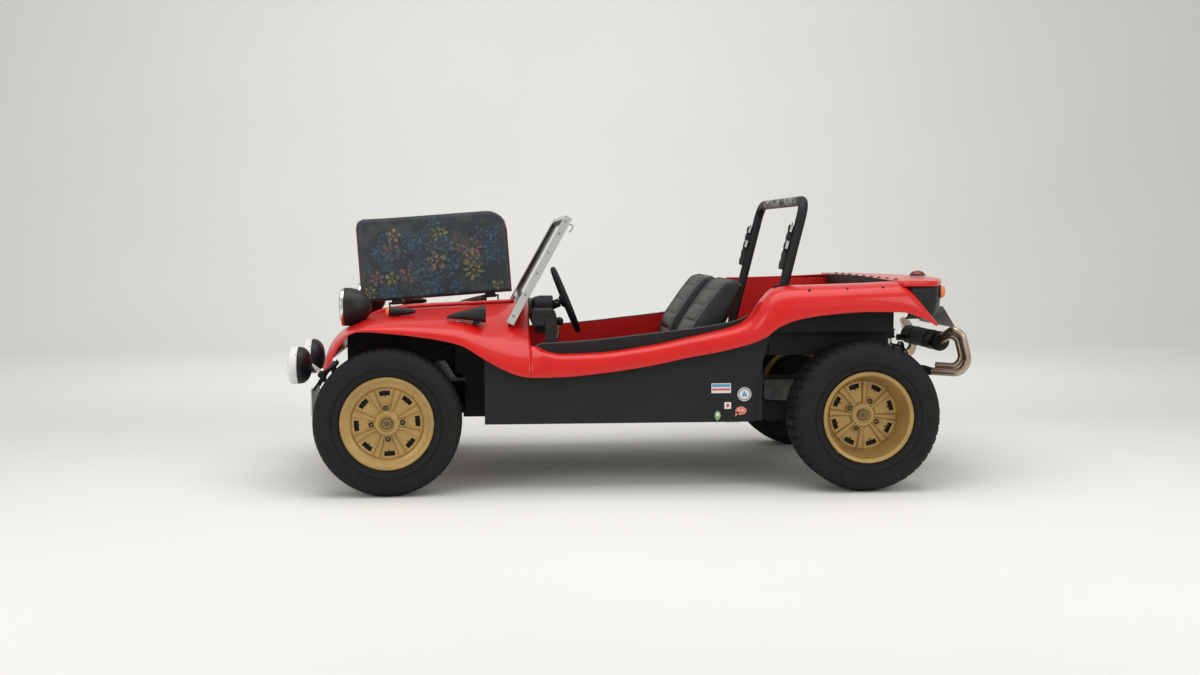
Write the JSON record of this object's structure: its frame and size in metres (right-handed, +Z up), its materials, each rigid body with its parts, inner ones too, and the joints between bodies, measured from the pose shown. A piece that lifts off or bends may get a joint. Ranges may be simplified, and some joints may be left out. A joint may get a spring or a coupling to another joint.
{
  "type": "dune buggy",
  "caption": "Open two-seat dune buggy with a moulded body, a front lid on side hinges, a flat windscreen, a roll bar, exposed wheels that steer and spin, and a rear engine",
  "frame": {"origin": "on the ground under the middle of the vehicle", "axes": "X forward, Y to the left, Z up"},
  "size_m": [3.1839, 1.58, 1.312],
  "materials": {
    "body_red": "gloss paint",
    "satin_black": "satin paint",
    "chassis_black": "semi-matt paint",
    "floral_vinyl": "printed vinyl",
    "bare_steel": "brushed",
    "glass": "clear",
    "grip_black": "matt",
    "seat_vinyl": "padded vinyl",
    "webbing": "woven",
    "lamp_black": "gloss",
    "lamp_orange": "translucent",
    "plate_white": "blank",
    "cast_metal": "cast",
    "exhaust_bronze": "heat-tinted",
    "wheel_gold": "metallic paint",
    "tyre": "rubber"
  },
  "bodies": {
    "chassis": {"floor_pan": "chassis_black", "footwells": "chassis_black", "tub_walls": "satin_black", "body_side_left": "body_red", "body_side_right": "body_red", "bonnet_surround": "body_red", "front_tray": "chassis_black", "fuel_tank": "chassis_black", "bonnet_hinges": "chassis_black", "rear_tub": "body_red", "rear_wall": "satin_black", "tail_deck": "body_red", "tail_panel": "satin_black", "dashboard": "satin_black", "windscreen_frame": "bare_steel", "windscreen_glass": "glass", "steering_column": "chassis_black", "seat_cushions": "seat_vinyl", "seat_backs": "seat_vinyl", "driver_controls": "grip_black", "roll_bar": "satin_black", "shoulder_belts": "webbing", "headlamps": "lamp_black", "fog_lamps": "lamp_black", "front_bracket": "chassis_black", "front_signals": "lamp_orange", "mirrors": "lamp_black", "tail_lamps": "lamp_orange", "number_plate": "plate_white", "front_axle": "chassis_black", "rear_axle": "cast_metal", "rear_arms": "chassis_black", "engine_block": "cast_metal", "exhaust": "exhaust_bronze"},
    "bonnet": {"bonnet_lid": "body_red", "bonnet_lining": "floral_vinyl"},
    "hub_left": {"knuckle_left": "bare_steel"},
    "hub_right": {"knuckle_right": "bare_steel"},
    "track_rod": {"steering_rod": "bare_steel"},
    "handwheel": {"steering_wheel": "grip_black"},
    "wheel_front_left": {"rim_front_left": "wheel_gold", "tyre_front_left": "tyre"},
    "wheel_front_right": {"rim_front_right": "wheel_gold", "tyre_front_right": "tyre"},
    "wheel_rear_left": {"rim_rear_left": "wheel_gold", "tyre_rear_left": "tyre"},
    "wheel_rear_right": {"rim_rear_right": "wheel_gold", "tyre_rear_right": "tyre"}
  },
  "joints": [
    {"name": "bonnet_hinge", "type": "hinge", "parent": "chassis", "child": "bonnet", "pos_m": [1.293, -0.216, 0.78473], "axis": [-0.9973, 0, 0.0735], "range_deg": [0, 95]},
    {"name": "steer_left", "type": "hinge", "parent": "chassis", "child": "hub_left", "pos_m": [1.108, 0.54, 0.321], "axis": [0, 0, 1], "range_deg": [-26, 26]},
    {"name": "steer_right", "type": "hinge", "parent": "chassis", "child": "hub_right", "pos_m": [1.108, -0.54, 0.321], "axis": [0, 0, 1], "range_deg": [-26, 26]},
    {"name": "steering_turn", "type": "hinge", "parent": "chassis", "child": "handwheel", "pos_m": [0.315, 0.31, 0.834], "axis": [-0.9272, 0, 0.3746], "range_deg": [-364, 364]},
    {"name": "rod_slide", "type": "slide", "parent": "chassis", "child": "track_rod", "axis": [0, 1, 0], "range_m": [-0.055, 0.055]},
    {"name": "spin_front_left", "type": "hinge", "parent": "hub_left", "child": "wheel_front_left", "pos_m": [1.108, 0.6, 0.321], "axis": [0, 1, 0], "continuous": true},
    {"name": "spin_front_right", "type": "hinge", "parent": "hub_right", "child": "wheel_front_right", "pos_m": [1.108, -0.6, 0.321], "axis": [0, 1, 0], "continuous": true},
    {"name": "spin_rear_left", "type": "hinge", "parent": "chassis", "child": "wheel_rear_left", "pos_m": [-0.992, 0.6, 0.333], "axis": [0, 1, 0], "continuous": true},
    {"name": "spin_rear_right", "type": "hinge", "parent": "chassis", "child": "wheel_rear_right", "pos_m": [-0.992, -0.6, 0.333], "axis": [0, 1, 0], "continuous": true}
  ],
  "couplings": [
    {"joint": "steer_right", "follows": "steer_left", "ratio": 1},
    {"joint": "steering_turn", "follows": "steer_left", "ratio": 14},
    {"joint": "rod_slide", "follows": "steer_left", "m_per_rad": -0.12}
  ]
}
